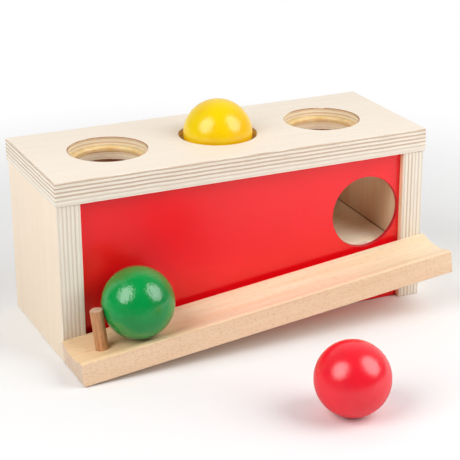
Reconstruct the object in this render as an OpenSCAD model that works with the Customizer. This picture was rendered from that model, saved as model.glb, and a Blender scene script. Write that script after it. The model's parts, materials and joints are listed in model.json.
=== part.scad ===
// Push-ball box: balls are pressed through rubber rings in the top, roll out of a hole in the
// front and come to rest on a sloping rail. The box stands on z = 0 with its front towards -y.

/* [Box] */
// Length of the box over its two end panels
box_l = 252; // [240:1:300]
// Depth of the end panels, front to back
box_d = 97; // [90:1:130]
// Height from the ground to the top face
box_h = 117; // [115:1:150]
// Thickness of the top panel
top_t = 15; // [12:0.5:18]
// Thickness of the end panels
end_t = 15; // [13:0.5:20]
// How far the top panel stands out past the box all round
top_lip = 1; // [0:0.5:5]
// Chamfer that takes the sharpness off the plywood's edges
edge_ease = 0.4; // [0.2:0.1:1.5]

/* [Balls] */
// Diameter of each of the three balls
ball_d = 45; // [44.5:0.5:48]
// Gap between a ball and what it rests on
ball_seat = 0.3; // [0.1:0.1:0.5]
// Gap between a ball on the rail and the front panel
ball_gap = 0.3; // [0.3:0.1:2]
// Place of the red ball along the box, from the middle
red_ball_x = 2; // [-100:1:100]
// Distance of the red ball's centre in front of the box
red_ball_out = 133; // [90:1:200]

/* [Top holes] */
// Distance between the centres of neighbouring holes
hole_pitch = 75.5; // [72:0.5:80]
// Room between a ball and the hole's wall, all round
hole_play = 2.5; // [2:0.5:4]
// Chamfer on the upper rim of each hole
hole_ease = 0.4; // [0.2:0.1:1.5]

/* [Grip rings] */
// How much narrower a ring's bore is than a ball
ring_bite = 2; // [1.5:0.1:4]
// Thickness of a ring where it sits in its groove
ring_t = 4.3; // [3:0.1:6]
// Thickness of the lip that grips the ball
ring_lip_t = 1.8; // [1:0.1:2.4]
// How far a ring reaches into the wall of its hole
ring_seat = 4; // [2:0.5:5]
// Width of the thick shoulder that shows inside the hole
ring_shoulder = 0.6; // [0.2:0.1:1]
// Clearance of a ring in its groove
ring_fit = 0.1; // [0.05:0.05:0.2]

/* [Thin sheets] */
// Thickness of the front, back and base sheets
sheet_t = 3; // [3:0.5:6]
// Depth of the grooves in the end panels that hold the sheets
groove_deep = 3; // [2:0.5:4]
// Clearance of a sheet in its grooves
sheet_fit = 0.1; // [0.05:0.05:0.3]
// How far the back sheet lies inside the end panels' back edges
back_recess = 4; // [2:0.5:8]

/* [Exit hole] */
// Room between a ball and the exit hole's edge, all round
exit_play = 1.5; // [1:0.5:4]
// Width of front panel left between the exit hole and the right end panel
exit_wall = 1.2; // [1:0.1:8]
// Width of front panel left between the exit hole and the top panel
exit_head = 14; // [8:0.5:17]

/* [Chute] */
// Thickness of the chute floor
chute_t = 5; // [3:0.5:8]
// Slope of the chute floor down to the right, in degrees
chute_slope = 3; // [2:0.5:4]
// Slope of the chute floor down to the front, in degrees
chute_tilt = 1.5; // [0.5:0.5:3]
// Clearance between the chute floor and the walls round it
chute_fit = 0.5; // [0.1:0.1:0.8]
// Width of the cleats under the two ends of the chute floor
cleat_w = 12; // [8:1:20]
// Height of the cleats
cleat_h = 10; // [6:1:16]
// How far a cleat stops short of the front and back sheets
cleat_short = 4; // [1:1:15]

/* [Rail] */
// Width of the rail, from the box outwards
rail_w = 37; // [35:1:42]
// Thickness of the rail
rail_t = 15; // [13:0.5:20]
// How much longer the rail is than the box, at each end
rail_over = 2; // [0:0.5:10]
// How far the rail's upper face passes under the sill of the exit hole
sill_drop = 0.8; // [0:0.1:6]
// Height of the rail's lowest corner above the ground
rail_lift = 0.5; // [0:0.1:2]
// Width of the hollow along the rail's top
gutter_w = 30; // [27:1:32]
// Depth of the hollow
gutter_deep = 3; // [2:0.5:3.5]

/* [Stop peg] */
// Diameter of the peg
peg_d = 8; // [6:0.5:12]
// Height of the peg above the rail's top edges
peg_h = 23; // [18:1:30]
// Distance of the peg's axis from the rail's low end
peg_in = 19.5; // [14:0.5:40]
// Wood left under the peg's hole
peg_skin = 3; // [2:0.5:5]
// Chamfer round the peg's top
peg_ease = 0.3; // [0.1:0.1:1]

/* [Dowels] */
// Diameter of the dowels between the top and the ends
top_dowel_d = 8; // [6:0.5:10]
// Length of these dowels
top_dowel_l = 30; // [24:1:40]
// Distance between neighbouring dowels
top_dowel_pitch = 30; // [20:1:34]
// Wood left above the dowels in the top panel
top_skin = 5; // [3:0.5:6]
// Diameter of the two dowels between the rail and the ends
rail_dowel_d = 6; // [5:0.5:7]
// Length of these dowels
rail_dowel_l = 30; // [20:1:40]
// Clearance of every dowel in its hole, filled with glue
dowel_fit = 0.1; // [0.05:0.05:0.2]

/* [Hidden] */

// Sides along x, as signs
left = -1;
centre = 0;
right = 1;

// Smoothness of round faces, and how far a cutting solid passes the face it cuts
$fn = 96;
past = 1;

// The box: inner faces, and the height of its walls under the top
wall_h = box_h - top_t;
inner_x = box_l/2 - end_t;
front_y = -box_d/2;
back_y = box_d/2;

// Balls, holes and rings
ball_r = ball_d/2;
hole_r = ball_r + hole_play;
exit_r = ball_r + exit_play;
ring_bore_r = ball_r - ring_bite/2;
ring_lip_r = ring_lip_t/2;
ring_z = box_h - top_t/2;
ring_groove_r = hole_r + ring_seat;
held_ball_z = ring_z + sqrt(pow(ball_r + ring_lip_r + ball_seat, 2) - pow(ring_bore_r + ring_lip_r, 2));

// The thin sheets: the front one lies just clear of a ball on the rail
front_recess = ball_r + ball_gap - rail_w/2;
front_sheet_y = front_y + front_recess;
back_sheet_y = back_y - back_recess - sheet_t;
inner_front = front_sheet_y + sheet_t;
inner_back = back_sheet_y;
sheet_l = 2*(inner_x + groove_deep - sheet_fit);
exit_x = inner_x - exit_wall - exit_r;
exit_z = wall_h - exit_head - exit_r;
sill_z = exit_z - exit_r;

// The rail: it climbs from the ground to the exit's sill, rail_z high above the middle of the box
rail_l = box_l + 2*rail_over;
rail_slope = atan((sill_z - sill_drop - rail_lift - rail_t)/(box_l/2 + exit_x));
rail_z = rail_lift + rail_l/2*sin(rail_slope) + rail_t*cos(rail_slope);
gutter_r = (pow(gutter_w/2, 2) + pow(gutter_deep, 2))/(2*gutter_deep);
peg_x = peg_in - rail_l/2;
peg_root = rail_t - peg_skin;
green_ball_x = peg_x + peg_d/2 + ball_r + ball_seat;

// Dowels: those of the rail lie midway in the wood under the gutter
end_x = box_l/2 - end_t/2;
top_dowel_z = box_h - top_skin - top_dowel_l;
rail_dowel_down = (rail_t + gutter_deep)/2;

ply = "wheat";
thin_ply = "burlywood";
beech = "navajowhite";
dowel_wood = "tan";
rubber = "goldenrod";

// An oblong outline with its corners cut off
module eased_oblong(w, h) {
    x = w/2;
    y = h/2;
    polygon([[edge_ease - x, -y], [x - edge_ease, -y], [x, edge_ease - y], [x, y - edge_ease],
             [x - edge_ease, y], [edge_ease - x, y], [-x, y - edge_ease], [-x, edge_ease - y]]);
}

// A plywood board standing on z = 0 with every edge chamfered
module eased_board(w, d, h) {
    intersection() {
        linear_extrude(h) eased_oblong(w, d);
        translate([0, d/2, h/2]) rotate([90, 0, 0]) linear_extrude(d) eased_oblong(w, h);
        translate([-w/2, 0, h/2]) rotate([90, 0, 90]) linear_extrude(w) eased_oblong(d, h);
    }
}

// The row of dowels that stands in the top edge of one end panel
module top_dowel_row(side, grow) {
    for (row = [-1:1])
        translate([side*end_x, row*top_dowel_pitch, top_dowel_z - grow])
            cylinder(r = top_dowel_d/2 + grow, h = top_dowel_l + 2*grow);
}

// One dowel between the rail and the front edge of an end panel
module rail_dowel_at(side, grow) {
    rail_height = rail_z + side*end_x*tan(rail_slope) - rail_dowel_down/cos(rail_slope);
    translate([side*end_x, front_y + rail_dowel_l/2 + grow, rail_height])
        rotate([90, 0, 0]) cylinder(r = rail_dowel_d/2 + grow, h = rail_dowel_l + 2*grow);
}

// A round hole through the top panel, eased at its rim and grooved for its ring
module ring_hole(side) {
    groove_h = ring_t + 2*ring_fit;
    translate([side*hole_pitch, 0, 0]) {
        translate([0, 0, wall_h - past]) cylinder(r = hole_r, h = top_t + 2*past);
        translate([0, 0, box_h - hole_ease])
            cylinder(r1 = hole_r, r2 = hole_r + hole_ease + past, h = hole_ease + past);
        translate([0, 0, ring_z - groove_h/2]) cylinder(r = ring_groove_r, h = groove_h);
    }
}

module top_panel() {
    color(ply) difference() {
        translate([0, 0, wall_h]) eased_board(box_l + 2*top_lip, box_d + 2*top_lip, top_t);
        for (side = [left, centre, right]) ring_hole(side);
        for (side = [left, right]) top_dowel_row(side, dowel_fit);
    }
}

// A groove from top to bottom of an end panel, for one thin sheet
module sheet_groove(side, y) {
    translate([side*inner_x - groove_deep, y - sheet_fit, -past])
        cube([2*groove_deep, sheet_t + 2*sheet_fit, wall_h + 2*past]);
}

// The rebate along an end panel's foot, for the base sheet
module base_rebate(side) {
    translate([side*inner_x - groove_deep, inner_front - past, -past])
        cube([2*groove_deep, inner_back - inner_front + 2*past, past + sheet_t + sheet_fit]);
}

module end_panel(side) {
    color(ply) difference() {
        translate([side*end_x, 0, 0]) eased_board(end_t, box_d, wall_h);
        sheet_groove(side, front_sheet_y);
        sheet_groove(side, back_sheet_y);
        base_rebate(side);
        top_dowel_row(side, dowel_fit);
        rail_dowel_at(side, dowel_fit);
    }
}

// A thin upright sheet held in the grooves of both ends
module upright_sheet(y) {
    translate([-sheet_l/2, y, 0]) cube([sheet_l, sheet_t, wall_h]);
}

module front_panel() {
    color("red") difference() {
        upright_sheet(front_sheet_y);
        translate([exit_x, front_sheet_y + sheet_t + past, exit_z])
            rotate([90, 0, 0]) cylinder(r = exit_r, h = sheet_t + 2*past);
    }
}

module back_panel() {
    color(thin_ply) upright_sheet(back_sheet_y);
}

module base_panel() {
    color(thin_ply) translate([-sheet_l/2, inner_front, 0])
        cube([sheet_l, inner_back - inner_front, sheet_t]);
}

// A slab parallel to the chute's upper face, between two depths below it
module chute_layer(upper, lower) {
    reach = box_l + box_d;
    translate([inner_x, inner_front, sill_z])
        rotate([chute_tilt, 0, 0]) rotate([0, chute_slope, 0])
            translate([-reach, -reach, -lower]) cube([2*reach, 2*reach, lower - upper]);
}

module chute_floor() {
    color(thin_ply) intersection() {
        chute_layer(0, chute_t);
        translate([chute_fit - inner_x, inner_front + chute_fit, 0])
            cube([2*(inner_x - chute_fit), inner_back - inner_front - 2*chute_fit, wall_h]);
    }
}

// A batten on the inner face of an end panel, cut to the chute's slopes
module cleat(side) {
    color(dowel_wood) intersection() {
        chute_layer(chute_t, chute_t + cleat_h);
        translate([side*(inner_x - cleat_w/2) - cleat_w/2, inner_front + cleat_short, 0])
            cube([cleat_w, inner_back - inner_front - 2*cleat_short, wall_h]);
    }
}

// Places things on the rail: x runs up the slope, z = 0 on its upper face, y = 0 against the box
module on_rail() {
    translate([0, front_y, rail_z]) rotate([0, -rail_slope, 0]) children();
}

module rail_outline() {
    difference() {
        translate([-rail_w/2, -rail_t/2]) eased_oblong(rail_w, rail_t);
        translate([-rail_w/2, gutter_r - gutter_deep]) circle(gutter_r);
    }
}

module ball_rail() {
    color(beech) difference() {
        on_rail() translate([-rail_l/2, 0, 0]) rotate([90, 0, 90]) linear_extrude(rail_l) rail_outline();
        on_rail() translate([peg_x, -rail_w/2, -peg_root - dowel_fit])
            cylinder(d = peg_d + 2*dowel_fit, h = peg_root + past);
        for (side = [left, right]) rail_dowel_at(side, dowel_fit);
    }
}

module stop_peg() {
    color(dowel_wood) on_rail() translate([peg_x, -rail_w/2, 0]) {
        translate([0, 0, -peg_root]) cylinder(d = peg_d, h = peg_root + peg_h - peg_ease);
        translate([0, 0, peg_h - peg_ease])
            cylinder(d1 = peg_d, d2 = peg_d - 2*peg_ease, h = peg_ease);
    }
}

// A rubber ring: a thick rim in the hole's groove, thinning to a rounded lip
module grip_ring(side) {
    rim_r = ring_groove_r - ring_fit;
    lip_x = ring_bore_r + ring_lip_r;
    shoulder_r = hole_r - ring_shoulder;
    color(rubber) translate([side*hole_pitch, 0, ring_z]) rotate_extrude() {
        polygon([[lip_x, -ring_lip_r], [shoulder_r, -ring_t/2], [rim_r, -ring_t/2],
                 [rim_r, ring_t/2], [shoulder_r, ring_t/2], [lip_x, ring_lip_r]]);
        translate([lip_x, 0]) circle(ring_lip_r);
    }
}

module yellow_ball() {
    color("gold") translate([0, 0, held_ball_z]) sphere(ball_r);
}

module green_ball() {
    color("green") on_rail()
        translate([green_ball_x, -rail_w/2, ball_r - gutter_deep + ball_seat]) sphere(ball_r);
}

module red_ball() {
    color("crimson") translate([red_ball_x, front_y - red_ball_out, ball_r]) sphere(ball_r);
}

top_panel();
end_panel(left);  // left_end_panel
end_panel(right);  // right_end_panel
front_panel();
back_panel();
base_panel();
chute_floor();
cleat(left);  // left_cleat
cleat(right);  // right_cleat
ball_rail();
stop_peg();
grip_ring(left);  // left_grip_ring
grip_ring(centre);  // centre_grip_ring
grip_ring(right);  // right_grip_ring
yellow_ball();
green_ball();
red_ball();
color(dowel_wood) top_dowel_row(left, 0);  // left_top_dowels
color(dowel_wood) top_dowel_row(right, 0);  // right_top_dowels
color(dowel_wood) rail_dowel_at(left, 0);  // left_rail_dowel
color(dowel_wood) rail_dowel_at(right, 0);  // right_rail_dowel
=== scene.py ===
# %% [markdown]
# # A push-ball box, dressed in wood, lacquer and rubber
# The construction of this toy is finished before Blender starts: every board, ring and ball comes
# in at its real size and place, and is called the frame. This lesson gives each piece its finish.
# We could model the boards again from scratch, but then they might no longer fit the joints, so
# each visible board starts from a copy of its frame mesh, and only its arrises and skin are worked.

import json
import math

import bmesh
import bpy
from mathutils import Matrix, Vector, noise

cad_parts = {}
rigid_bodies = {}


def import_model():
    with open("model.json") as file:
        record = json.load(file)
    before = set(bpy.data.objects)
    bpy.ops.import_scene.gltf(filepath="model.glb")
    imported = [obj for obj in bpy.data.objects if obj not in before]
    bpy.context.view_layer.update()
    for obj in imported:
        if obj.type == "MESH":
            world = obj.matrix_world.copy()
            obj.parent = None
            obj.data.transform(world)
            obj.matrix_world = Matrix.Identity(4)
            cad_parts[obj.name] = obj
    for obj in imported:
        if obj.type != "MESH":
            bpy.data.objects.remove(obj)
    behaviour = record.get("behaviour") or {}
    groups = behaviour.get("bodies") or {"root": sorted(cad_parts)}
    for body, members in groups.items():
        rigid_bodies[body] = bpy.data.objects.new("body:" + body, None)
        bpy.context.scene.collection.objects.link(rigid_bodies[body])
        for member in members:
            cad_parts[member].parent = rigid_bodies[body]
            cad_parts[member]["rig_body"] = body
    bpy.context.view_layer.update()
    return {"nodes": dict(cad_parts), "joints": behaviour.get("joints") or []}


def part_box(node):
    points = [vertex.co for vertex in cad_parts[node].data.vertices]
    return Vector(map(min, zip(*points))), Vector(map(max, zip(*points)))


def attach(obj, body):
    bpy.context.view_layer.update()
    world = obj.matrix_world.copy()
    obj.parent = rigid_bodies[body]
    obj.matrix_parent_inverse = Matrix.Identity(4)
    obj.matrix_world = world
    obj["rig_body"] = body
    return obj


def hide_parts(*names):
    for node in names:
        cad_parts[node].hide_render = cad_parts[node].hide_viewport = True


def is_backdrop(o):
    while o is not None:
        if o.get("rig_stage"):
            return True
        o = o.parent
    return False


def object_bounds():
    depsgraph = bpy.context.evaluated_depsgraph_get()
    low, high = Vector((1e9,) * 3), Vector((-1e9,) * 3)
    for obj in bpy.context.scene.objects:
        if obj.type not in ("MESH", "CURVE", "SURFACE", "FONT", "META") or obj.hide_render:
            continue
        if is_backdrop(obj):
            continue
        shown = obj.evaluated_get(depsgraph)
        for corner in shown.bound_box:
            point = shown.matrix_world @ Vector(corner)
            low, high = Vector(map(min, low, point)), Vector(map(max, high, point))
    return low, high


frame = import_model()

# %% Units and sizes read from the frame
MM = 0.001
top_low, top_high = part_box("top_panel")
rail_travel = next(joint for joint in frame["joints"] if joint["name"] == "ball_roll")["axis"]
rail_slope = math.atan2(rail_travel[2], rail_travel[0])
print("top panel:", [round(size / MM, 1) for size in top_high - top_low], "mm")
print("rail slope:", round(math.degrees(rail_slope), 2), "degrees")

# %% [markdown]
# ## The camera
# The toy is seen from its left front corner and from a little above, through a long lens that keeps
# the boards' edges nearly parallel. A camera can be aimed with a constraint, but here its place is
# worked out from a target, two angles and a distance, so that each number has a plain meaning.

# %% Camera
CAMERA_TARGET = Vector((6.57, -48.5, 63.1)) * MM
CAMERA_AZIMUTH = math.radians(-25.51)
CAMERA_ELEVATION = math.radians(21.24)
CAMERA_DISTANCE = 958.4 * MM
LENS = 118.35
FRAMING_SHIFT = (-0.0636, 0.00885)

camera_back = Vector((
    math.sin(CAMERA_AZIMUTH) * math.cos(CAMERA_ELEVATION),
    -math.cos(CAMERA_AZIMUTH) * math.cos(CAMERA_ELEVATION),
    math.sin(CAMERA_ELEVATION),
))
camera = bpy.data.objects.new("camera", bpy.data.cameras.new("camera"))
bpy.context.scene.collection.objects.link(camera)
camera.data.lens = LENS
camera.data.shift_x, camera.data.shift_y = FRAMING_SHIFT
camera.location = CAMERA_TARGET + CAMERA_DISTANCE * camera_back
camera.rotation_euler = (-camera_back).to_track_quat("-Z", "Y").to_euler()
bpy.context.scene.camera = camera
bpy.context.scene.view_settings.view_transform = "Standard"
print("camera at", [round(value, 3) for value in camera.location])

# %% [markdown]
# ## A bench for shader nodes
# A material in Blender is a small graph. Writing every node and link by hand makes long code that
# hides the idea, so a few helpers do the clerical work: one adds a node and fills its sockets, and
# the others are the sums, ramps and noises that the finishes below are made of.

# %% Node helpers
def add_node(tree, kind, sockets=(), **settings):
    """Adds a node; sockets maps an input's name or number to a value or to another socket."""
    made = tree.nodes.new(kind)
    for name, value in settings.items():
        setattr(made, name, value)
    for name, value in dict(sockets).items():
        if isinstance(value, bpy.types.NodeSocket):
            tree.links.new(value, made.inputs[name])
        else:
            made.inputs[name].default_value = value
    return made


def arithmetic(tree, operation, first, second=0.0, clamp=False):
    """One Math node; returns its result socket."""
    made = add_node(tree, "ShaderNodeMath", {0: first, 1: second}, operation=operation, use_clamp=clamp)
    return made.outputs[0]


def spread(tree, value, least, span):
    """Least where the value is 0, and least plus span where it is 1."""
    return arithmetic(tree, "ADD", arithmetic(tree, "MULTIPLY", value, span), least)


def distance_along(tree, space, way):
    """How far each point of a space lies along a direction."""
    made = add_node(tree, "ShaderNodeVectorMath", {0: space, 1: way}, operation="DOT_PRODUCT")
    return made.outputs["Value"]


def scaled_space(tree, space, sizes):
    """Divides a space by three lengths, so that a pattern of size 1 gets those lengths."""
    made = add_node(tree, "ShaderNodeVectorMath", {0: space, 1: sizes}, operation="DIVIDE")
    return made.outputs[0]


def three_lengths(tree, along, across):
    """A size that is long along X and narrow the other two ways."""
    made = add_node(tree, "ShaderNodeCombineXYZ", {0: along, 1: across, 2: across})
    return made.outputs[0]


def rise(tree, value, start, end):
    """A smooth rise from 0 at start to 1 at end."""
    made = add_node(tree, "ShaderNodeMapRange", {"Value": value, "From Min": start, "From Max": end},
                    interpolation_type="SMOOTHSTEP")
    return made.outputs["Result"]


def mixed_colour(tree, share, first, second):
    """Mixes two colours by a share; returns the colour socket."""
    made = add_node(tree, "ShaderNodeMix", data_type="RGBA")
    for number, value in ((0, share), (6, first), (7, second)):
        if isinstance(value, bpy.types.NodeSocket):
            tree.links.new(value, made.inputs[number])
        else:
            made.inputs[number].default_value = value
    return made.outputs[2]


def clouds(tree, space, detail=2.0, roughness=0.5, distortion=0.0):
    """Soft noise of size 1 in the given space, 0.5 on average."""
    sockets = {"Vector": space, "Scale": 1.0, "Detail": detail, "Roughness": roughness,
               "Distortion": distortion}
    return add_node(tree, "ShaderNodeTexNoise", sockets).outputs["Fac"]


print("node helpers ready")

# %% Group and material helpers
SOCKET_KINDS = {"colour": "NodeSocketColor", "value": "NodeSocketFloat", "space": "NodeSocketVector"}


def new_group(name, inputs, outputs):
    """An empty node group with named sockets; returns the group, what goes in and what comes out."""
    group = bpy.data.node_groups.new(name, "ShaderNodeTree")
    for side, sockets in (("INPUT", inputs), ("OUTPUT", outputs)):
        for title, kind in sockets.items():
            group.interface.new_socket(title, in_out=side, socket_type=SOCKET_KINDS[kind])
    return group, group.nodes.new("NodeGroupInput").outputs, group.nodes.new("NodeGroupOutput").inputs


def use_group(tree, group, sockets):
    """Places a group in a material; returns its outputs."""
    return add_node(tree, "ShaderNodeGroup", sockets, node_tree=group).outputs


def new_finish(name, **constants):
    """A material with one Principled BSDF; constants are set on the shader's own sockets."""
    material = bpy.data.materials.new(name)
    material.use_nodes = True
    shader = material.node_tree.nodes["Principled BSDF"]
    for title, value in constants.items():
        shader.inputs[title.replace("_", " ")].default_value = value
    return material, material.node_tree, shader.inputs


def millimetre_space(tree, turn=(0, 0, 0), shift=(0, 0, 0)):
    """The piece's own space in millimetres, turned so that its X follows the grain."""
    place = add_node(tree, "ShaderNodeTexCoord").outputs["Object"]
    sockets = {"Vector": place, "Scale": (1 / MM,) * 3, "Rotation": turn, "Location": shift}
    return add_node(tree, "ShaderNodeMapping", sockets).outputs[0]


def bump(tree, shader, height, depth):
    """Turns a height of 0 to 1 into a bump of that many millimetres."""
    sockets = {"Height": height, "Distance": depth * MM, "Strength": 1.0}
    tree.links.new(add_node(tree, "ShaderNodeBump", sockets).outputs[0], shader["Normal"])


def screen_colour(red, green, blue):
    """A colour as a screen shows it, 0 to 255, turned into the linear light that shaders use."""
    shares = [level / 255 for level in (red, green, blue)]
    return tuple(s / 12.92 if s <= 0.04045 else ((s + 0.055) / 1.055) ** 2.4 for s in shares) + (1.0,)


print("group helpers ready")

# %% [markdown]
# ## Wood grain
# Birch, beech and pine all show the same three things at different sizes: broad streaks where the
# seasons changed, fine fibres, and short dark dashes where rays or pores are cut. An image of wood
# would repeat and could not follow the ends of a board, so the grain is a solid pattern: noise that
# is stretched along X. Every wood below uses this one group with its own lengths and colours.

# %% Group: wood grain
grain, into, out = new_group(
    "wood grain",
    {"Space": "space", "Pale": "colour", "Deep": "colour", "Dash": "colour",
     "Streak Length": "value", "Streak Width": "value", "Figure": "value",
     "Dash Length": "value", "Dash Width": "value", "Dash Share": "value", "Dash Strength": "value"},
    {"Color": "colour", "Height": "value", "Dashes": "value"})

FIBRE_LENGTH_SHARE, FIBRE_WIDTH_SHARE = 0.3, 0.12
STREAK_SWING, FIBRE_SWING = 2.2, 1.4
DASH_CORE, DASH_EDGE = 0.18, 0.42
DASH_SINKS = 0.6

streak_size = three_lengths(grain, into["Streak Length"], into["Streak Width"])
streaks = clouds(grain, scaled_space(grain, into["Space"], streak_size),
                 detail=3.0, roughness=0.6, distortion=0.8)
fibre_size = three_lengths(grain, arithmetic(grain, "MULTIPLY", into["Streak Length"], FIBRE_LENGTH_SHARE),
                           arithmetic(grain, "MULTIPLY", into["Streak Width"], FIBRE_WIDTH_SHARE))
fibres = clouds(grain, scaled_space(grain, into["Space"], fibre_size), detail=2.0, roughness=0.6)

streak_part = arithmetic(grain, "MULTIPLY", arithmetic(grain, "SUBTRACT", streaks, 0.5), STREAK_SWING)
fibre_part = arithmetic(grain, "MULTIPLY", arithmetic(grain, "SUBTRACT", fibres, 0.5), FIBRE_SWING)
swing = arithmetic(grain, "MULTIPLY", arithmetic(grain, "ADD", streak_part, fibre_part), into["Figure"])
tone = arithmetic(grain, "ADD", swing, 0.5, clamp=True)

dash_size = three_lengths(grain, into["Dash Length"], into["Dash Width"])
cells = add_node(grain, "ShaderNodeTexVoronoi",
                 {"Vector": scaled_space(grain, into["Space"], dash_size), "Scale": 1.0})
lot = add_node(grain, "ShaderNodeSeparateColor", {0: cells.outputs["Color"]}).outputs[0]
chosen = arithmetic(grain, "LESS_THAN", lot, into["Dash Share"])
inside = arithmetic(grain, "SUBTRACT", 1.0, rise(grain, cells.outputs["Distance"], DASH_CORE, DASH_EDGE))
dashes = arithmetic(grain, "MULTIPLY", inside, chosen)

plain = mixed_colour(grain, tone, into["Pale"], into["Deep"])
dash_mix = arithmetic(grain, "MULTIPLY", dashes, into["Dash Strength"])
grain.links.new(mixed_colour(grain, dash_mix, plain, into["Dash"]), out["Color"])
sunk = arithmetic(grain, "MULTIPLY", dashes, DASH_SINKS)
grain.links.new(arithmetic(grain, "SUBTRACT", fibres, sunk), out["Height"])
grain.links.new(dashes, out["Dashes"])
print("wood grain group:", len(grain.nodes), "nodes")

# %% [markdown]
# ## Plywood edges
# A plywood board is glued from thin veneers whose grain turns by a right angle from one to the
# next. On the board's edge the veneers seen along the grain stay pale, those cut across look darker
# and speckled, and the glue leaves thin lines between them. The stripes could be modelled as strips
# of mesh, but they are flush with each other, so a pattern over the depth in the board is truer.

# %% Group: ply layers
plies, into, out = new_group(
    "ply layers",
    {"Space": "space", "Period": "value", "Start": "value", "Contrast": "value", "Seed": "value",
     "Pale": "colour", "Deep": "colour", "Glue": "colour"},
    {"Color": "colour", "Height": "value", "End Grain": "value"})

WANDER_SIZE, WANDER_WIDTH = (60.0, 18.0, 18.0), 0.7
SPECKLE_SIZE, DRAWN_SIZE = (0.5, 0.7, 0.7), (0.5, 14.0, 14.0)
DRAWN_STARTS, DRAWN_FULL = 0.45, 0.8
DRAWN_STRENGTH, GLUE_STRENGTH = 0.45, 0.45

depth = add_node(plies, "ShaderNodeSeparateXYZ", {0: into["Space"]}).outputs[0]
wander = clouds(plies, scaled_space(plies, into["Space"], WANDER_SIZE), detail=2.0)
off_line = arithmetic(plies, "MULTIPLY", arithmetic(plies, "SUBTRACT", wander, 0.5), WANDER_WIDTH)
depth = arithmetic(plies, "ADD", depth, off_line)
turns = arithmetic(plies, "DIVIDE", arithmetic(plies, "SUBTRACT", depth, into["Start"]), into["Period"])
layer = arithmetic(plies, "FLOOR", turns)
within = arithmetic(plies, "FRACT", turns)
lot = add_node(plies, "ShaderNodeTexWhiteNoise", {"W": arithmetic(plies, "ADD", layer, into["Seed"])},
               noise_dimensions="1D").outputs["Value"]
strength = spread(plies, lot, least=0.25, span=0.75)

CROSS_PLY_SHARE = 0.42
PLY_BLUR = 0.06
crossed = arithmetic(plies, "SUBTRACT", rise(plies, within, 0.0, PLY_BLUR),
                     rise(plies, within, CROSS_PLY_SHARE - PLY_BLUR, CROSS_PLY_SHARE))
first_line = arithmetic(plies, "SUBTRACT", 1.0, rise(plies, within, 0.0, PLY_BLUR))
second_line = arithmetic(plies, "SUBTRACT", 1.0, rise(
    plies, arithmetic(plies, "ABSOLUTE", arithmetic(plies, "SUBTRACT", within, CROSS_PLY_SHARE)),
    0.0, PLY_BLUR))
glue = arithmetic(plies, "MULTIPLY", arithmetic(plies, "MAXIMUM", first_line, second_line), strength)

speckle = clouds(plies, scaled_space(plies, into["Space"], SPECKLE_SIZE), detail=2.0, roughness=0.7)
drawn = clouds(plies, scaled_space(plies, into["Space"], DRAWN_SIZE), detail=3.0, roughness=0.6)
mottle = spread(plies, speckle, least=0.55, span=0.9)
crossed_share = arithmetic(plies, "MULTIPLY", arithmetic(plies, "MULTIPLY", crossed, mottle), strength)
drawn_share = arithmetic(plies, "MULTIPLY", rise(plies, drawn, DRAWN_STARTS, DRAWN_FULL), DRAWN_STRENGTH)
share = arithmetic(plies, "MULTIPLY", arithmetic(plies, "MAXIMUM", crossed_share, drawn_share),
                   into["Contrast"], clamp=True)
striped = mixed_colour(plies, share, into["Pale"], into["Deep"])
glue_share = arithmetic(plies, "MULTIPLY", glue,
                        arithmetic(plies, "MULTIPLY", into["Contrast"], GLUE_STRENGTH))
plies.links.new(mixed_colour(plies, glue_share, striped, into["Glue"]), out["Color"])
plies.links.new(arithmetic(plies, "SUBTRACT", drawn, arithmetic(plies, "MULTIPLY", crossed, speckle)),
                out["Height"])
plies.links.new(crossed, out["End Grain"])
print("ply layers group:", len(plies.nodes), "nodes")

# %% [markdown]
# ## Sprayed lacquer
# The red sheet and the balls carry a thick toy lacquer. It is never a perfect mirror: it dries with
# fine ripples known as orange peel, it pools a little, and dust leaves specks. Roughness alone would
# only blur the reflections, so the group gives a height for bump, a slow change of tone and specks.

# %% Group: lacquer skin
skin, into, out = new_group(
    "lacquer skin",
    {"Space": "space", "Colour": "colour", "Pooled": "colour", "Speck": "colour",
     "Peel Width": "value", "Peel Length": "value", "Wave Size": "value",
     "Speck Spacing": "value", "Speck Share": "value"},
    {"Color": "colour", "Height": "value"})

SPECK_CORE, SPECK_EDGE = 0.04, 0.09
SPECK_RISES = 0.5
POOL_STARTS, POOL_FULL = 0.3, 0.75

peel_size = add_node(skin, "ShaderNodeCombineXYZ", {
    0: into["Peel Width"], 1: into["Peel Width"], 2: into["Peel Length"]}).outputs[0]
peel = clouds(skin, scaled_space(skin, into["Space"], peel_size), detail=2.0, roughness=0.4)
wave = clouds(skin, scaled_space(skin, into["Space"], three_lengths(
    skin, into["Wave Size"], into["Wave Size"])), detail=1.0)
grit = add_node(skin, "ShaderNodeTexVoronoi", {"Vector": scaled_space(
    skin, into["Space"], three_lengths(skin, into["Speck Spacing"], into["Speck Spacing"])), "Scale": 1.0})
lot = add_node(skin, "ShaderNodeSeparateColor", {0: grit.outputs["Color"]}).outputs[1]
picked = arithmetic(skin, "LESS_THAN", lot, into["Speck Share"])
spot = arithmetic(skin, "SUBTRACT", 1.0, rise(skin, grit.outputs["Distance"], SPECK_CORE, SPECK_EDGE))
specks = arithmetic(skin, "MULTIPLY", picked, spot)

pooled = mixed_colour(skin, rise(skin, wave, POOL_STARTS, POOL_FULL), into["Colour"], into["Pooled"])
skin.links.new(mixed_colour(skin, specks, pooled, into["Speck"]), out["Color"])
raised = arithmetic(skin, "MULTIPLY", specks, SPECK_RISES)
skin.links.new(arithmetic(skin, "ADD", peel, raised), out["Height"])
print("lacquer skin group:", len(skin.nodes), "nodes")

# %% [markdown]
# ## Handled edges
# Hands and sandpaper reach the arrises first: bare wood goes a little darker and duller there, and
# lacquer is thinner. Blender can find edges with its Bevel or Pointiness nodes, but those depend on
# the renderer. Here each worked piece carries a face attribute named arris, set on the strips that
# the bevel makes, and the group breaks that strip up with noise, so that the wear isn't a drawn line.

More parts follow.
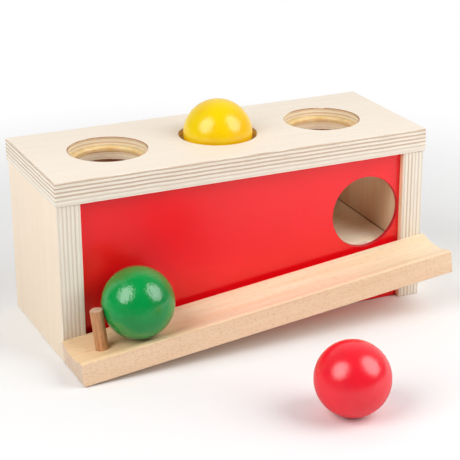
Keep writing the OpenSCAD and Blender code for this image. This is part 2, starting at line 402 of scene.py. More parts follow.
# %% Group: handled edges
handled, into, out = new_group(
    "handled edges",
    {"Space": "space", "Edge": "value", "Patch Size": "value", "Wear": "value"},
    {"Mask": "value"})
PATCH_STARTS, PATCH_FULL = 0.35, 0.65
patches = clouds(handled, scaled_space(handled, into["Space"], three_lengths(
    handled, into["Patch Size"], into["Patch Size"])), detail=3.0, roughness=0.6)
worn = arithmetic(handled, "MULTIPLY", into["Edge"], rise(handled, patches, PATCH_STARTS, PATCH_FULL))
handled.links.new(arithmetic(handled, "MULTIPLY", worn, into["Wear"], clamp=True), out["Mask"])


def edge_mask(tree, space, patch_size, wear):
    """Wear on the piece's arrises, as a mask."""
    strip = add_node(tree, "ShaderNodeAttribute", attribute_name="arris").outputs["Fac"]
    return use_group(tree, handled, {
        "Space": space, "Edge": strip, "Patch Size": patch_size, "Wear": wear})["Mask"]


print("handled edges group:", len(handled.nodes), "nodes")

# %% [markdown]
# ## Joint lines
# Where two boards meet inside the box, the narrow gap between them lies in shade and gathers a little
# dust and glue. The gap itself is too narrow to be seen, so its shade is painted on the veneer as a line:
# the group takes the plane in which the other board lies and shades what is close to it, on both sides.

# %% Group: joint line
joint, into, out = new_group(
    "joint line",
    {"Place": "space", "Normal": "space", "Level": "value", "Core": "value", "Fade": "value"},
    {"Mask": "value"})
off = arithmetic(joint, "ABSOLUTE", arithmetic(
    joint, "SUBTRACT", distance_along(joint, into["Place"], into["Normal"]), into["Level"]))
close_to = arithmetic(joint, "SUBTRACT", 1.0, rise(joint, off, into["Core"], into["Fade"]))
joint.links.new(close_to, out["Mask"])
print("joint line group:", len(joint.nodes), "nodes")

# %% [markdown]
# ## Working a copy of a board
# A board from the frame is made of triangles and has knife-sharp corners. Real arrises catch a thin
# line of light, so the copy is welded, its flat faces are joined again, and every corner sharper than
# a set angle gets a narrow round. The Bevel modifier does this too, but the bmesh operator also tells
# which faces it made, and those are marked for the wear. Weighted normals keep the flats looking flat.

# %% Helpers: work a copy and fit it
CORNER_ANGLE = math.radians(24)
FLAT_ANGLE = math.radians(0.2)
WELD = 0.001 * MM
ROUND_STEPS = 2
ROUND_PROFILE = 0.5
FACES_THAT_WAY = 0.3
LOOKS_ALONG = 0.98
FACE_FINISH, EDGE_FINISH, THIRD_FINISH = 0, 1, 2


def worked_copy(node, ease, worn_towards=None):
    """A copy of a frame node with its sharp corners rounded by ease, in millimetres. If worn_towards is
    given, wear goes on all that slants towards it, chamfers too, and otherwise on every rounded corner."""
    shape = bmesh.new()
    shape.from_mesh(frame["nodes"][node].data)
    arris = shape.faces.layers.float.new("arris")
    bmesh.ops.remove_doubles(shape, verts=shape.verts, dist=WELD)
    bmesh.ops.dissolve_limit(shape, angle_limit=FLAT_ANGLE, verts=shape.verts, edges=shape.edges)
    corners = [edge for edge in shape.edges if edge.is_manifold and edge.calc_face_angle() > CORNER_ANGLE]
    strips = bmesh.ops.bevel(shape, geom=corners, offset=ease * MM, offset_type="OFFSET",
                             segments=ROUND_STEPS, profile=ROUND_PROFILE, affect="EDGES",
                             clamp_overlap=False)["faces"]
    shape.normal_update()
    if worn_towards:
        strips = [face for face in shape.faces
                  if FACES_THAT_WAY < face.normal.dot(worn_towards) < LOOKS_ALONG]
    for face in strips:
        face[arris] = 1.0
    mesh = bpy.data.meshes.new(node + "_worked")
    shape.to_mesh(mesh)
    shape.free()
    mesh.shade_smooth()
    piece = bpy.data.objects.new(node + "_worked", mesh)
    bpy.context.scene.collection.objects.link(piece)
    even = piece.modifiers.new("even light on flats", "WEIGHTED_NORMAL")
    even.keep_sharp = True
    return piece


def body_of_node(node):
    return frame["nodes"][node]["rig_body"]


def fit(piece, node):
    """The piece stands for a frame node: it rides on the same body, and the frame node is hidden."""
    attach(piece, body_of_node(node))
    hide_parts(node)
    print(piece.name, "has", len(piece.data.polygons), "faces and rides on", body_of_node(node))


def paint_by_axis(piece, axis, face_finish, edge_finish):
    """Faces that look along an axis get the veneer, all others show the board's plies."""
    piece.data.materials.append(face_finish)
    piece.data.materials.append(edge_finish)
    for face in piece.data.polygons:
        face.material_index = FACE_FINISH if abs(face.normal[axis]) > LOOKS_ALONG else EDGE_FINISH


print("corners over", round(math.degrees(CORNER_ANGLE)), "degrees get rounded")

# %% [markdown]
# ## Birch plywood
# The top and the two ends are one board: pale birch veneer under a thin clear coat, with the plies
# bare at every edge. Veneer is peeled from the log like paper from a roll, so its streaks are broad,
# faint and long. One function makes the finish for a board, because each needs its grain turned and
# its plies counted from its own outer face. The top and the ends get lit copies of one veneer colour,
# the top's paler and whiter with painted light and sheen. Inside the box and in the holes warm light
# bounces off wood and red lacquer, and that warm light is painted in: the bores' plies get colours of
# their own, and so does the inside of the ends.

# %% Finishes for a plywood board
# lit copies of one veneer colour: the top's is paler and whiter, painted light and sheen
TOP_BIRCH_LIT_COPY = screen_colour(253, 243, 229), screen_colour(245, 228, 207)
END_BIRCH_LIT_COPY = screen_colour(252, 236, 215), screen_colour(243, 221, 194)
# the inside of the ends: warm bounced light painted into the veneer's colour
INNER_BIRCH_BOUNCE_LIT = screen_colour(255, 232, 198), screen_colour(250, 205, 160)
BIRCH_DASH = screen_colour(206, 164, 122)
PLY_PALE = screen_colour(247, 239, 225)
PLY_DEEP = screen_colour(203, 175, 147)
PLY_GLUE = screen_colour(186, 152, 122)
PLY_ARRIS = screen_colour(176, 126, 82)
PLY_PERIOD = 2.54
PLY_START = 0.37
QUARTER = math.pi / 2
# painted shade of the gap where the chute floor meets an end, with a little dust
JOINT_SHADE = screen_colour(162, 116, 84)
JOINT_CORE, JOINT_FADE = 0.2 * MM, 0.5 * MM


def birch_veneer(name, colours, figure, turn, shift, meets=None):
    """The board's face; meets is the plane of a board that it meets, as a normal and a distance."""
    finish, tree, shader = new_finish(name, Specular_IOR_Level=0.35)
    space = millimetre_space(tree, turn, shift)
    wood = use_group(tree, grain, {
        "Space": space, "Pale": colours[0], "Deep": colours[1], "Dash": BIRCH_DASH,
        "Streak Length": 140.0, "Streak Width": 7.0, "Figure": figure,
        "Dash Length": 3.0, "Dash Width": 0.5, "Dash Share": 0.1, "Dash Strength": 0.3})
    colour = wood["Color"]
    # a line of painted shade, with a little dust, along the joint with the board that this one meets
    if meets:
        place = add_node(tree, "ShaderNodeTexCoord").outputs["Object"]
        line = use_group(tree, joint, {"Place": place, "Normal": meets[0], "Level": meets[1],
                                       "Core": JOINT_CORE, "Fade": JOINT_FADE})["Mask"]
        colour = mixed_colour(tree, line, colour, JOINT_SHADE)
    tree.links.new(colour, shader["Base Color"])
    tree.links.new(spread(tree, wood["Height"], least=0.4, span=0.12), shader["Roughness"])
    bump(tree, shader, wood["Height"], depth=0.03)
    return finish


def birch_edge(name, turn, shift, contrast, seed, wear, colours=(PLY_PALE, PLY_DEEP)):
    """The board's plies, counted from its outer face."""
    finish, tree, shader = new_finish(name, Specular_IOR_Level=0.25)
    space = millimetre_space(tree, turn, shift)
    stripes = use_group(tree, plies, {
        "Space": space, "Period": PLY_PERIOD, "Start": PLY_START, "Contrast": contrast, "Seed": seed,
        "Pale": colours[0], "Deep": colours[1], "Glue": PLY_GLUE})
    worn = edge_mask(tree, space, patch_size=30.0, wear=wear)
    tree.links.new(mixed_colour(tree, worn, stripes["Color"], PLY_ARRIS), shader["Base Color"])
    tree.links.new(spread(tree, stripes["End Grain"], least=0.5, span=0.15), shader["Roughness"])
    bump(tree, shader, stripes["Height"], depth=0.05)
    return finish


print("plies are", PLY_PERIOD, "mm a pair")

# %% Top panel
BOARD_EASE = 0.2
# the bores of the holes: warm bounced light painted into the plies' colours
BORE_PLIES_BOUNCE_LIT = screen_colour(254, 241, 214), screen_colour(226, 192, 150)
RIM_WIDTH = 5.0 * MM
depth_down = {"turn": (0, -QUARTER, 0), "shift": (top_high.z / MM, 0, 0)}
top = worked_copy("top_panel", BOARD_EASE, worn_towards=Vector((0, 0, 1)))
top_face = birch_veneer("birch top veneer", TOP_BIRCH_LIT_COPY, figure=0.35, turn=(0, 0, 0), shift=(0, 0, 0))
top_edge = birch_edge("birch top plies", contrast=1.0, seed=310.0, wear=0.45, **depth_down)
top_bores = birch_edge("birch bore plies", contrast=0.9, seed=310.0, wear=3.0, colours=BORE_PLIES_BOUNCE_LIT,
                       **depth_down)
UP = 2
paint_by_axis(top, UP, top_face, top_edge)
top.data.materials.append(top_bores)
for face in top.data.polygons:
    inside = all(low + RIM_WIDTH < value < high - RIM_WIDTH
                 for low, value, high in list(zip(top_low, face.center, top_high))[:UP])
    if face.material_index == EDGE_FINISH and inside:
        face.material_index = THIRD_FINISH
fit(top, "top_panel")

# %% End panels
ALONG = 0
END_WEAR = 0.25
chute_top = max(frame["nodes"]["chute_floor"].data.polygons, key=lambda face: face.normal.z)
chute_plane = tuple(chute_top.normal), chute_top.center.dot(chute_top.normal)
print("chute floor leans", round(math.degrees(chute_top.normal.angle(Vector((0, 0, 1)))), 1), "degrees")
for side, turn_about, seed, contrast in (("left", 0.0, 224.0, 0.6), ("right", math.pi, 238.0, 0.85)):
    node = side + "_end_panel"
    low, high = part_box(node)
    outer = -low.x if side == "left" else high.x
    outwards = -1 if side == "left" else 1
    board = worked_copy(node, BOARD_EASE)
    veneer = birch_veneer("birch " + side + " veneer", END_BIRCH_LIT_COPY, figure=0.4,
                          turn=(0, QUARTER, 0), shift=(0, seed, 0))
    inner = birch_veneer("birch " + side + " inside", INNER_BIRCH_BOUNCE_LIT, figure=0.9,
                         turn=(0, QUARTER, 0), shift=(0, -seed, 0), meets=chute_plane)
    edge = birch_edge("birch " + side + " plies", (0, 0, turn_about), (outer / MM, 0, 0),
                      contrast, seed, END_WEAR)
    paint_by_axis(board, ALONG, veneer, edge)
    board.data.materials.append(inner)
    for face in board.data.polygons:
        if face.normal[ALONG] * outwards < -LOOKS_ALONG:
            face.material_index = THIRD_FINISH
    fit(board, node)

# %% [markdown]
# ## The red front
# The front is a thin sheet sprayed red on both faces and round its exit hole. A flat red would look
# like plastic foil, so the lacquer skin group gives it ripples, slow changes of tone and dust, and
# the wall and arrises of the hole get a deeper red, painted shade for faces that turn away from the light.

# %% Front panel
RIM_SHADE_RED = screen_colour(214, 12, 34)


def sprayed_red(name, colour, pooled, roughness):
    finish, tree, shader = new_finish(name, Roughness=roughness, Specular_IOR_Level=0.65)
    space = millimetre_space(tree)
    coat = use_group(tree, skin, {
        "Space": space, "Colour": colour, "Pooled": pooled, "Speck": screen_colour(250, 96, 90),
        "Peel Width": 1.6, "Peel Length": 1.6, "Wave Size": 45.0,
        "Speck Spacing": 12.0, "Speck Share": 0.12})
    # painted shade: the arrises turn a deeper red
    thin = edge_mask(tree, space, patch_size=5.0, wear=0.5)
    tree.links.new(mixed_colour(tree, thin, coat["Color"], RIM_SHADE_RED), shader["Base Color"])
    bump(tree, shader, coat["Height"], depth=0.015)
    return finish


DEEP = 1
SHEET_EASE = 0.4
front = worked_copy("front_panel", SHEET_EASE)
red_face = sprayed_red("red lacquer", screen_colour(252, 6, 24), screen_colour(248, 2, 18), roughness=0.26)
# the wall of the exit hole: a deeper red, painted shade
red_rim = sprayed_red("red lacquer rim", RIM_SHADE_RED, screen_colour(190, 10, 34), roughness=0.35)
paint_by_axis(front, DEEP, red_face, red_rim)
fit(front, "front_panel")

# %% [markdown]
# ## Thin plywood and battens
# The back, the base and the chute floor are thin plywood, warmer than the birch of the box, and the
# battens under the chute are plain sawn pine. Little of them shows, but a hole lets the eye in, so
# they get the same grain group with their own streaks. The chute floor's plywood is painted paler than
# the back's, standing in for light that hardly reaches inside the box.

# %% Thin sheets and battens
def plain_wood(name, pale, deep, dash, streak, figure, turn=(0, 0, 0)):
    finish, tree, shader = new_finish(name, Specular_IOR_Level=0.3)
    space = millimetre_space(tree, turn)
    wood = use_group(tree, grain, {
        "Space": space, "Pale": pale, "Deep": deep, "Dash": dash,
        "Streak Length": streak[0], "Streak Width": streak[1], "Figure": figure,
        "Dash Length": 4.0, "Dash Width": 0.5, "Dash Share": 0.2, "Dash Strength": 0.4})
    worn = edge_mask(tree, space, patch_size=6.0, wear=0.35)
    tree.links.new(mixed_colour(tree, worn, wood["Color"], dash), shader["Base Color"])
    tree.links.new(spread(tree, wood["Dashes"], least=0.55, span=0.15), shader["Roughness"])
    bump(tree, shader, wood["Height"], depth=0.05)
    return finish


thin_ply = plain_wood("thin plywood", screen_colour(248, 222, 188), screen_colour(232, 196, 154),
                      screen_colour(190, 144, 100), streak=(110.0, 6.0), figure=0.7)
# painted light: paler than the thin plywood, for light that hardly reaches the chute
chute_ply_painted_light = plain_wood("chute plywood", screen_colour(255, 249, 229), screen_colour(255, 229, 194),
                       screen_colour(150, 104, 70), streak=(110.0, 6.0), figure=0.6)
pine = plain_wood("pine", screen_colour(236, 208, 160), screen_colour(204, 158, 102),
                  screen_colour(164, 116, 70), streak=(160.0, 2.5), figure=0.9, turn=(0, 0, QUARTER))
CHUTE_EASE = 0.5
for node, finish, ease in (("back_panel", thin_ply, SHEET_EASE), ("base_panel", thin_ply, SHEET_EASE),
                           ("chute_floor", chute_ply_painted_light, CHUTE_EASE), ("left_cleat", pine, SHEET_EASE),
                           ("right_cleat", pine, SHEET_EASE)):
    sheet = worked_copy(node, ease)
    sheet.data.materials.append(finish)
    fit(sheet, node)

# %% [markdown]
# ## The beech rail
# Beech is warm and even, and its mark is the fleck: short dark dashes where the rays of the wood are
# cut. The rail lies at a slope, so its grain space is turned by the same angle, which is read from
# the joint along which the ball rolls. Its ends show the wood cut across, which is duller. The hollow,
# which looks up, gets a paler copy of the beech colour, painted light, and towards the low end the
# hollow turns warmer.

# %% Ball rail
BEECH_LONG = screen_colour(250, 221, 188), screen_colour(239, 200, 163)
BEECH_HOLLOW_LIT_COPY = screen_colour(254, 240, 210), screen_colour(247, 216, 174)
HOLLOW_LOOKS_UP = 0.8
BEECH_CUT = screen_colour(243, 219, 197), screen_colour(225, 194, 166)
BEECH_DASH = screen_colour(204, 152, 108)
BEECH_WARM = screen_colour(255, 226, 180), screen_colour(255, 212, 163)
WARM_FADES, WARM_FULL = -20.0, -95.0


def beech(name, colours, turn, dash_share, dash_size, dash_strength, figure, low_end=0.0):
    finish, tree, shader = new_finish(name, Specular_IOR_Level=0.4)
    space = millimetre_space(tree, turn)
    pale, deep = colours
    # the colour turns warmer towards the low end of the rail
    if low_end:
        along = add_node(tree, "ShaderNodeSeparateXYZ", {0: space}).outputs[0]
        warmed = arithmetic(tree, "MULTIPLY", rise(tree, along, WARM_FADES, WARM_FULL), low_end)
        pale = mixed_colour(tree, warmed, pale, BEECH_WARM[0])
        deep = mixed_colour(tree, warmed, deep, BEECH_WARM[1])
    wood = use_group(tree, grain, {
        "Space": space, "Pale": pale, "Deep": deep, "Dash": BEECH_DASH,
        "Streak Length": 180.0, "Streak Width": 9.0, "Figure": figure,
        "Dash Length": dash_size[0], "Dash Width": dash_size[1],
        "Dash Share": dash_share, "Dash Strength": dash_strength})
    worn = edge_mask(tree, space, patch_size=12.0, wear=0.25)
    tree.links.new(mixed_colour(tree, worn, wood["Color"], deep), shader["Base Color"])
    tree.links.new(spread(tree, wood["Dashes"], least=0.42, span=0.2), shader["Roughness"])
    bump(tree, shader, wood["Height"], depth=0.04)
    return finish


up_the_slope = (0, rail_slope, 0)
rail = worked_copy("ball_rail", BOARD_EASE)
rail_length = beech("beech along the grain", BEECH_LONG, up_the_slope, dash_share=0.7,
                    dash_size=(3.0, 0.6), dash_strength=0.5, figure=0.6)
rail_hollow = beech("beech hollow", BEECH_HOLLOW_LIT_COPY, up_the_slope, dash_share=0.2,
                    dash_size=(6.0, 0.6), dash_strength=0.4, figure=0.8, low_end=0.9)
rail_end = beech("beech end grain", BEECH_CUT, up_the_slope, dash_share=0.6,
                 dash_size=(0.6, 0.6), dash_strength=0.32, figure=0.6)
paint_by_axis(rail, ALONG, rail_end, rail_length)
rail.data.materials.append(rail_hollow)
# the hollow's upward faces get the paler copy, painted light
for face in rail.data.polygons:
    if face.normal[UP] > HOLLOW_LOOKS_UP:
        face.material_index = THIRD_FINISH
fit(rail, "ball_rail")

# %% [markdown]
# ## The stop peg
# A short dowel stands in the rail and stops the balls. It is the same wood, but dowels are turned from
# darker stock and their grain stands upright, so the streaks run along the peg and the top shows pores.

# %% Stop peg
DOWEL_LONG = screen_colour(230, 174, 126), screen_colour(180, 120, 78)
DOWEL_CUT = screen_colour(226, 196, 168), screen_colour(196, 158, 126)
DOWEL_DASH = screen_colour(120, 78, 50)
LONG_PORES, CUT_PORES = (5.0, 0.45), (0.8, 0.8)


def dowel_wood(name, colours, turn, dash_size):
    finish, tree, shader = new_finish(name, Specular_IOR_Level=0.35)
    space = millimetre_space(tree, turn)
    wood = use_group(tree, grain, {
        "Space": space, "Pale": colours[0], "Deep": colours[1], "Dash": DOWEL_DASH,
        "Streak Length": 60.0, "Streak Width": 2.2, "Figure": 1.0,
        "Dash Length": dash_size[0], "Dash Width": dash_size[1],
        "Dash Share": 0.4, "Dash Strength": 0.5})
    worn = edge_mask(tree, space, patch_size=3.0, wear=0.4)
    tree.links.new(mixed_colour(tree, worn, wood["Color"], DOWEL_DASH), shader["Base Color"])
    tree.links.new(spread(tree, wood["Dashes"], least=0.5, span=0.2), shader["Roughness"])
    bump(tree, shader, wood["Height"], depth=0.06)
    return finish


upright = (0, QUARTER + rail_slope, 0)
peg = worked_copy("stop_peg", BOARD_EASE)
paint_by_axis(peg, UP, dowel_wood("peg end grain", DOWEL_CUT, upright, CUT_PORES),
              dowel_wood("peg along the grain", DOWEL_LONG, upright, LONG_PORES))
fit(peg, "stop_peg")

# %% [markdown]
# ## Hidden dowels
# Glued dowels hold the top and the rail to the ends. Nobody sees them in the finished toy, so they
# keep their frame meshes and only get the dowel's wood.

# %% Dowels in their holes
hidden_dowel = dowel_wood("joint dowels", DOWEL_LONG, (0, QUARTER, 0), LONG_PORES)
for node in ("left_top_dowels", "right_top_dowels", "left_rail_dowel", "right_rail_dowel"):
    dowels = frame["nodes"][node].data
    dowels.materials.clear()
    dowels.materials.append(hidden_dowel)
print("dowels finished:", hidden_dowel.name)

# %% [markdown]
# ## The rubber rings
# A ring of amber rubber sits halfway down each hole and holds a ball until it is pressed through. Thin
# rubber lets light through, so it has a little subsurface light, and the two empty rings throw no shadow
# into their holes. The nose is fuller than a straight taper, so each ring is turned again, as on a lathe,
# from a short outline.

# %% Amber rubber
rubber, tree, shader = new_finish("amber rubber", Roughness=0.22, Specular_IOR_Level=1.0,
                                  Subsurface_Weight=0.5, Subsurface_Scale=3.0 * MM,
                                  Subsurface_Radius=(1.0, 0.6, 0.25))
space = millimetre_space(tree)
gum = use_group(tree, skin, {
    "Space": space, "Colour": screen_colour(248, 219, 165), "Pooled": screen_colour(238, 202, 142),
    "Speck": screen_colour(250, 234, 204), "Peel Width": 0.8, "Peel Length": 0.8, "Wave Size": 6.0,
    "Speck Spacing": 3.0, "Speck Share": 0.2})
tree.links.new(gum["Color"], shader["Base Color"])
bump(tree, shader, gum["Height"], depth=0.03)
print("rubber finish:", len(tree.nodes), "nodes")

# %% Grip rings
ball_low, ball_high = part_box("yellow_ball")
BALL_RADIUS = (ball_high.x - ball_low.x) / 2
HOLE_PLAY = 2.5 * MM
HOLE_RADIUS = BALL_RADIUS + HOLE_PLAY
RING_BITE = 2.0 * MM
RING_SHOULDER = 0.6 * MM
NOSE_DROP = 0.3 * MM
NOSE_POINTS = 24
NOSE_FULLNESS = 0.5
RING_STEPS = 128


def fuller(share):
    """Pushes a share of -1 to 1 outwards, which turns a round outline into a fuller one."""
    return math.copysign(abs(share) ** NOSE_FULLNESS, share)


def turned_ring(node):
    """Lathes a ring: a square rim that sits in the groove and a full nose with an upright face."""
    low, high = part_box(node)
    middle = (low + high) / 2
    half_height = (high.z - low.z) / 2
    rim = (high.x - low.x) / 2
    bore = BALL_RADIUS - RING_BITE / 2
    nose = HOLE_RADIUS - RING_SHOULDER - bore
    nose_half = half_height - NOSE_DROP
    turns = [math.pi * (0.5 + step / NOSE_POINTS) for step in range(NOSE_POINTS + 1)]
    outline = [Vector((bore + nose - nose * fuller(-math.cos(turn)), 0, nose_half * fuller(math.sin(turn))))
               for turn in turns]
    outline += [Vector((HOLE_RADIUS - RING_SHOULDER / 2, 0, -half_height))]
    outline += [Vector((rim, 0, -half_height)), Vector((rim, 0, half_height))]
    outline += [Vector((HOLE_RADIUS - RING_SHOULDER / 2, 0, half_height))]
    shape = bmesh.new()
    points = [shape.verts.new(place) for place in outline]
    edges = [shape.edges.new((points[number - 1], points[number])) for number in range(len(points))]
    bmesh.ops.spin(shape, geom=points + edges, cent=(0, 0, 0), axis=(0, 0, 1), angle=2 * math.pi,
                   steps=RING_STEPS, use_merge=True)
    bmesh.ops.remove_doubles(shape, verts=shape.verts, dist=WELD)
    bmesh.ops.recalc_face_normals(shape, faces=shape.faces)
    mesh = bpy.data.meshes.new(node + "_turned")
    shape.to_mesh(mesh)
    shape.free()
    mesh.shade_smooth()
    mesh.set_sharp_from_angle(angle=CORNER_ANGLE)
    ring = bpy.data.objects.new(node + "_turned", mesh)
    bpy.context.scene.collection.objects.link(ring)
    ring.location = middle
    return ring


for side in ("left", "centre", "right"):
    ring = turned_ring(side + "_grip_ring")
    ring.data.materials.append(rubber)
    ring.visible_shadow = side == "centre"
    fit(ring, side + "_grip_ring")

# %% [markdown]
# ## The balls
# Three wooden balls, dipped in yellow, green and red lacquer. A UV sphere has pinched poles that show in
# a gloss, so each ball is a cube that is subdivided and pushed out to a sphere. A turned and dipped ball
# isn't perfectly round either: soft noise moves the skin by a few hundredths of a millimetre, which makes
# the reflections of the lamps wobble as they do on the real toy. Below the middle each ball's colour turns
# deeper, which is painted shade on its underside, and the lacquer's upright ripples change the gloss a
# little. On the green ball they are plain enough to break up the edges of the highlights.

# %% Helper: a dipped ball
BALL_CUTS = 6
SKIN_UNEVEN = 0.035 * MM
SKIN_WAVE = 9.0 * MM


def dipped_ball(node, finish, drift):
    low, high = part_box(node)
    middle = (low + high) / 2
    radius = (high.z - low.z) / 2 - SKIN_UNEVEN
    shape = bmesh.new()
    bmesh.ops.create_cube(shape, size=2.0)
    for _ in range(BALL_CUTS):
        bmesh.ops.subdivide_edges(shape, edges=shape.edges, cuts=1, use_grid_fill=True)
        for point in shape.verts:
            point.co = point.co.normalized()
    for point in shape.verts:
        place = point.co * radius
        point.co = point.co * (radius + SKIN_UNEVEN * noise.noise((place + drift) / SKIN_WAVE))
    mesh = bpy.data.meshes.new(node + "_dipped")
    shape.to_mesh(mesh)
    shape.free()
    mesh.shade_smooth()
    mesh.materials.append(finish)
    ball = bpy.data.objects.new(node + "_dipped", mesh)
    bpy.context.scene.collection.objects.link(ball)
    ball.location = middle
    fit(ball, node)


print("a ball has", 6 * 4 ** BALL_CUTS, "faces")

# %% Group: painted lower shade
lower_shade, into, out = new_group(
    "painted lower shade", {"Space": "space", "Starts": "value", "Ends": "value"}, {"Mask": "value"})
height = add_node(lower_shade, "ShaderNodeSeparateXYZ", {0: into["Space"]}).outputs[2]
lower_shade.links.new(rise(lower_shade, height, into["Starts"], into["Ends"]), out["Mask"])
print("painted lower shade group:", len(lower_shade.nodes), "nodes")

# %% Balls
# painted shade: each ball turns to its deeper colour below the middle
LOWER_SHADE_STARTS, LOWER_SHADE_ENDS = 4.0, -10.0
FAINT_RIPPLE = {"width": 0.8, "length": 4.0, "depth": 0.1, "least_rough": 0.14}
PLAIN_RIPPLE = {"width": 1.2, "length": 5.0, "depth": 0.22, "least_rough": 0.1}
ROUGH_SPAN = 0.16


def ball_lacquer(name, colour, pooled, speck, sheen, ripple):
    finish, tree, shader = new_finish(name, Specular_IOR_Level=sheen)
    space = millimetre_space(tree)
    # the deeper colour below the middle is painted shade
    lower_shade_mask = use_group(tree, lower_shade, {"Space": space, "Starts": LOWER_SHADE_STARTS, "Ends": LOWER_SHADE_ENDS})["Mask"]
    coat = use_group(tree, skin, {
        "Space": space, "Colour": mixed_colour(tree, lower_shade_mask, colour, pooled), "Pooled": pooled,
        "Speck": speck, "Peel Width": ripple["width"], "Peel Length": ripple["length"], "Wave Size": 30.0,
        "Speck Spacing": 6.0, "Speck Share": 0.08})
    tree.links.new(coat["Color"], shader["Base Color"])
    roughness = spread(tree, coat["Height"], ripple["least_rough"], ROUGH_SPAN)
    tree.links.new(roughness, shader["Roughness"])
    bump(tree, shader, coat["Height"], ripple["depth"])
    return finish


yellow = ball_lacquer("yellow lacquer", screen_colour(255, 220, 0), screen_colour(255, 200, 0),
                      screen_colour(255, 232, 120), sheen=0.65, ripple=FAINT_RIPPLE)
green = ball_lacquer("green lacquer", screen_colour(0, 160, 72), screen_colour(0, 140, 62),
                     screen_colour(80, 180, 110), sheen=0.9, ripple=PLAIN_RIPPLE)
red = ball_lacquer("ball red lacquer", screen_colour(253, 33, 52), screen_colour(248, 27, 47),
                   screen_colour(250, 130, 130), sheen=0.85, ripple=FAINT_RIPPLE)
dipped_ball("yellow_ball", yellow, Vector((0.1, 0.2, 0.3)))
dipped_ball("green_ball", green, Vector((0.4, 0.1, 0.7)))
dipped_ball("red_ball", red, Vector((0.9, 0.5, 0.2)))

# %% [markdown]
# ## Floor and light
# The toy stands on a pale sweep, lit by two oval soft boxes, one from the left and one from the right
# front. They give each ball its pair of soft highlights, and a sky that is bright behind the toy and dark
# on the camera's side fills the shadows. Far from the toy the sweep fades to white, but only for the eye
# and for reflections, so that the white adds no light, and near the toy the floor keeps its shadow. In
# reflections the floor close to the toy carries a painted shade as well, which keeps the lower half of
# each gloss deep.

# %% Floor
FLOOR_HALF = 4.0
FLOOR_DROP = 0.1 * MM
WHITE_STARTS, WHITE_ENDS = 0.2, 0.5
SHADE_STARTS, SHADE_ENDS, NEAR_SHADE = 0.14, 0.34, 0.45
SWEEP_GREY = (0.92, 0.92, 0.92, 1.0)
WHITE, BLACK = (1.0, 1.0, 1.0, 1.0), (0.0, 0.0, 0.0, 1.0)
floor_mesh = bpy.data.meshes.new("floor")
floor_mesh.from_pydata([(x * FLOOR_HALF, y * FLOOR_HALF, -FLOOR_DROP) for x, y in
                        ((-1, -1), (1, -1), (1, 1), (-1, 1))], [], [(0, 1, 2, 3)])
floor = bpy.data.objects.new("floor", floor_mesh)
bpy.context.scene.collection.objects.link(floor)
floor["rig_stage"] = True

sweep, tree, _ = new_finish("pale sweep", Roughness=0.9, Specular_IOR_Level=0.1, Base_Color=SWEEP_GREY)
floor_mesh.materials.append(sweep)
ray = add_node(tree, "ShaderNodeLightPath").outputs
seen = arithmetic(tree, "ADD", ray["Is Camera Ray"], ray["Is Glossy Ray"])
seen = arithmetic(tree, "ADD", seen, ray["Is Transmission Ray"], clamp=True)
place = add_node(tree, "ShaderNodeTexCoord").outputs["Object"]
away = add_node(tree, "ShaderNodeVectorMath", {0: place}, operation="LENGTH").outputs["Value"]
faded = arithmetic(tree, "MULTIPLY", seen, rise(tree, away, WHITE_STARTS, WHITE_ENDS))
white = add_node(tree, "ShaderNodeEmission", {"Color": WHITE, "Strength": 1.0})
surface = add_node(tree, "ShaderNodeMixShader", {
    0: faded, 1: tree.nodes["Principled BSDF"].outputs[0], 2: white.outputs[0]})
# painted shade on the floor near the toy, seen only in reflections
near = arithmetic(tree, "SUBTRACT", 1.0, rise(tree, away, SHADE_STARTS, SHADE_ENDS))
shaded = arithmetic(tree, "MULTIPLY", near, arithmetic(tree, "MULTIPLY", ray["Is Glossy Ray"], NEAR_SHADE))
black = add_node(tree, "ShaderNodeBsdfDiffuse", {"Color": BLACK})
surface = add_node(tree, "ShaderNodeMixShader", {0: shaded, 1: surface.outputs[0], 2: black.outputs[0]})
tree.links.new(surface.outputs[0], tree.nodes["Material Output"].inputs["Surface"])
print("floor is", 2 * FLOOR_HALF, "m wide")

# %% [markdown]
# ## A dark card
# Photographers lay a black card beside a glossy thing, because a gloss looks deep only where it reflects
# something dark. Ours lies at the left front and fades in softly. Rays of reflection alone see it, so it
# takes no light from the toy and never shows itself.

# %% Dark card
CARD_STARTS, CARD_FULL, CARD_LENGTH, CARD_WIDTH = 0.05, 0.34, 1.7, 3.0
CARD_LIFT = 0.1 * MM
CARD_BLACK = (0.02, 0.02, 0.02, 1.0)
towards_card = Vector((-0.78, -0.62, 0.0)).normalized()
across_card = Vector((-towards_card.y, towards_card.x, 0.0))
near_edge = towards_card * CARD_STARTS + Vector((0, 0, CARD_LIFT))
card_mesh = bpy.data.meshes.new("dark_card")
card_mesh.from_pydata([near_edge + towards_card * far * CARD_LENGTH + across_card * side * CARD_WIDTH / 2
                       for far, side in ((0, -1), (0, 1), (1, 1), (1, -1))], [], [(0, 1, 2, 3)])
card = bpy.data.objects.new("dark_card", card_mesh)
bpy.context.scene.collection.objects.link(card)
card_finish, tree, shader = new_finish("dark card", Base_Color=CARD_BLACK, Roughness=0.9)
place = add_node(tree, "ShaderNodeTexCoord").outputs["Object"]
in_front = distance_along(tree, place, towards_card)
tree.links.new(rise(tree, in_front, CARD_STARTS, CARD_FULL), shader["Alpha"])
card_mesh.materials.append(card_finish)
for kind_of_ray in ("camera", "diffuse", "transmission", "volume_scatter", "shadow"):
    setattr(card, "visible_" + kind_of_ray, False)
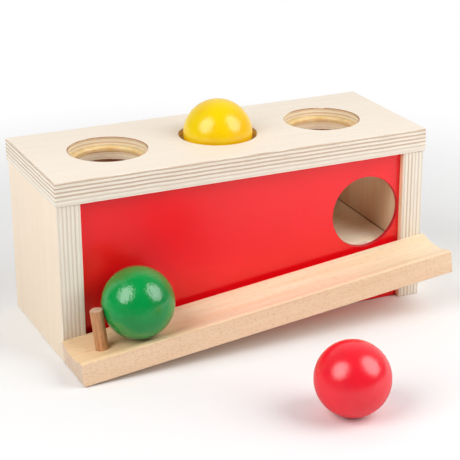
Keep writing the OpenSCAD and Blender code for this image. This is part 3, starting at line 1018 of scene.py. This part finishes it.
card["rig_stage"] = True
print("dark card starts", CARD_STARTS, "m in front")

# %% Sky and soft boxes
BACKDROP = (0.43, 0.90, 0.0)
DARK_FRONT, BRIGHT_BACK = 0.03, 0.72
LIT_EDGE, MIRRORED_EDGE = (-0.1, 0.35), (0.2, 0.95)
sky = bpy.data.worlds.new("studio sky")
sky.use_nodes = True
tree = sky.node_tree
way = add_node(tree, "ShaderNodeTexCoord").outputs["Generated"]
lean = distance_along(tree, way, BACKDROP)
wall = add_node(tree, "ShaderNodeMix", {
    0: add_node(tree, "ShaderNodeLightPath").outputs["Is Glossy Ray"],
    2: rise(tree, lean, *LIT_EDGE),
    3: rise(tree, lean, *MIRRORED_EDGE)})
level = spread(tree, wall.outputs[0], DARK_FRONT, BRIGHT_BACK - DARK_FRONT)
tree.links.new(level, tree.nodes["Background"].inputs["Strength"])
tree.nodes["Background"].inputs["Color"].default_value = WHITE
bpy.context.scene.world = sky

LIT_POINT = Vector((0, -60, 60)) * MM
SOFT_BOXES = {
    "left soft box": {"towards": (-0.757, -0.214, 0.617), "distance": 1.3,
                      "size": (0.98, 1.18), "watts": 11.8},
    "right soft box": {"towards": (0.59, -0.53, 0.61), "distance": 1.0,
                       "size": (0.8, 0.95), "watts": 7.4},
}
for name, box in SOFT_BOXES.items():
    lamp = bpy.data.lights.new(name, "AREA")
    lamp.shape = "ELLIPSE"
    lamp.size, lamp.size_y = box["size"]
    lamp.energy = box["watts"]
    holder = bpy.data.objects.new(name, lamp)
    bpy.context.scene.collection.objects.link(holder)
    towards = Vector(box["towards"]).normalized()
    holder.location = LIT_POINT + box["distance"] * towards
    holder.rotation_euler = towards.to_track_quat("Z", "Y").to_euler()
    print(name, "gives", box["watts"], "W from", [round(value, 2) for value in holder.location])

# %% [markdown]
# ## Measure and finish
# The dressed toy has to keep the frame's size, so the size of its box is printed.

# %% Size and finish
low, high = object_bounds()
print("dressed box:", [round(side / MM, 2) for side in high - low], "mm")
